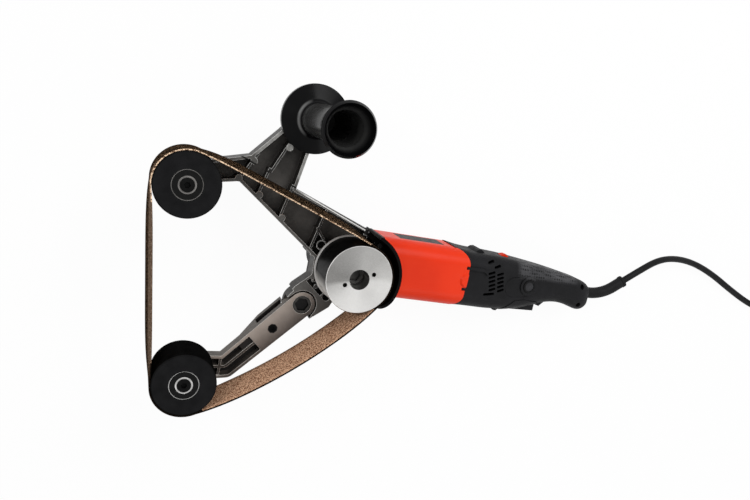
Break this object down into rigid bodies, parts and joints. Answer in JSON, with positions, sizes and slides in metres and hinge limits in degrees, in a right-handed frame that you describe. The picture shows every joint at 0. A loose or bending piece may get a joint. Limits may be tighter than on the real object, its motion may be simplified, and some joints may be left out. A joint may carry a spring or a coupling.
{
  "type": "pipe sander",
  "caption": "Hand-held belt sander for pipes: belt round a drive drum and rollers, sprung tension arm, side handle, motor housing, trigger handle and mains lead.",
  "frame": {"origin": "point where the drum axis meets the flat back of the gear case, on the surface that the tool lies on", "axes": "+X along the motor axis towards the cord, +Y towards the side handle, +Z along the drum axis towards the front of the belt"},
  "size_m": [0.9374, 0.3245, 0.209],
  "materials": {
    "cast_alloy": "cast, dark grey",
    "arm_alloy": "cast, warm grey",
    "case_alloy": "cast, painted black",
    "turned_alloy": "turned",
    "steel": "ground",
    "black_steel": "blackened",
    "guard_paint": "gloss black",
    "roller_plastic": "matt",
    "orange_plastic": "satin",
    "black_plastic": "satin",
    "rubber": "matt",
    "abrasive_cloth": "grit outside, cloth inside",
    "lamination": "stacked sheets",
    "copper": "enamelled copper",
    "brass": "drawn",
    "carbon": "carbon"
  },
  "bodies": {
    "machine": {"belt_frame": "cast_alloy", "gear_case": "case_alloy", "bearing_cover": "case_alloy", "upper_axle": "steel", "fixed_outer_rings": "steel", "upper_inner_rings": "steel", "upper_bearing_balls": "steel", "side_handle_stud": "steel", "tension_spring": "steel", "plug_pins": "steel", "frame_screws": "black_steel", "guard_screws": "black_steel", "housing_screws": "black_steel", "handle_screws": "black_steel", "clamp_screws": "black_steel", "pivot_screw": "black_steel", "belt_guard": "guard_paint", "motor_housing": "orange_plastic", "handle_shell_front": "black_plastic", "handle_shell_back": "black_plastic", "side_handle": "black_plastic", "housing_inlay": "black_plastic", "cord_clamp": "black_plastic", "switch_module": "black_plastic", "brush_bridge": "black_plastic", "plug_body": "black_plastic", "cord_tie": "black_plastic", "cord_guard": "rubber", "cord_lead": "rubber", "cord_coil": "rubber", "sanding_belt": "abrasive_cloth", "stator_core": "lamination", "field_coils": "copper", "brush_holders": "brass", "carbon_brushes": "carbon"},
    "armature": {"armature_shaft": "steel", "armature_core": "lamination", "armature_windings": "copper", "commutator": "copper", "cooling_fan": "black_plastic", "drive_pinion": "steel", "armature_inner_rings": "steel"},
    "drum": {"drive_drum": "turned_alloy", "spindle": "steel", "crown_gear": "steel", "drum_bolt": "black_steel", "spindle_inner_rings": "steel"},
    "upper_roller_unit": {"upper_roller": "roller_plastic", "upper_outer_rings": "steel"},
    "lower_roller_unit": {"lower_roller": "roller_plastic", "lower_outer_rings": "steel"},
    "tension_arm_unit": {"tension_arm": "arm_alloy", "arm_screw": "black_steel", "lower_axle": "steel", "lower_inner_rings": "steel", "lower_bearing_balls": "steel"},
    "trigger_unit": {"trigger": "black_plastic"},
    "lock_button_unit": {"lock_button": "black_plastic"},
    "speed_dial_unit": {"speed_dial": "orange_plastic"}
  },
  "joints": [
    {"name": "armature_spin", "type": "hinge", "parent": "machine", "child": "armature", "pos_m": [0, 0, 0.0325], "axis": [1, 0, 0], "continuous": true},
    {"name": "drum_spin", "type": "hinge", "parent": "machine", "child": "drum", "pos_m": [0, 0, 0], "axis": [0, 0, 1], "continuous": true},
    {"name": "upper_roller_spin", "type": "hinge", "parent": "machine", "child": "upper_roller_unit", "pos_m": [-0.1717, 0.0636, 0.1], "axis": [0, 0, 1], "continuous": true},
    {"name": "lower_roller_spin", "type": "hinge", "parent": "tension_arm_unit", "child": "lower_roller_unit", "pos_m": [-0.146, -0.1206, 0.1], "axis": [0, 0, 1], "continuous": true},
    {"name": "tension_arm_swing", "type": "hinge", "parent": "machine", "child": "tension_arm_unit", "pos_m": [-0.0391, -0.0436, 0.07], "axis": [0, 0, 1], "range_deg": [-15, 0], "stiffness_Nm_per_rad": 2, "springref_deg": 11.46, "deforming": ["sanding_belt", "tension_spring"]},
    {"name": "trigger_pull", "type": "hinge", "parent": "machine", "child": "trigger_unit", "pos_m": [0.21, -0.0235, 0.0325], "axis": [0, 0, 1], "range_deg": [0, 5], "stiffness_Nm_per_rad": 1},
    {"name": "lock_button_press", "type": "slide", "parent": "machine", "child": "lock_button_unit", "axis": [0, 0, -1], "range_m": [0, 0.003], "stiffness_N_per_m": 200},
    {"name": "speed_dial_turn", "type": "hinge", "parent": "machine", "child": "speed_dial_unit", "pos_m": [0.1984, 0.0246, 0.0325], "axis": [0, 0, 1], "range_deg": [0, 270]}
  ],
  "couplings": [
    {"joint": "drum_spin", "follows": "armature_spin", "ratio": 0.33333},
    {"joint": "upper_roller_spin", "follows": "armature_spin", "ratio": 0.37472},
    {"joint": "lower_roller_spin", "follows": "armature_spin", "ratio": 0.37472}
  ]
}
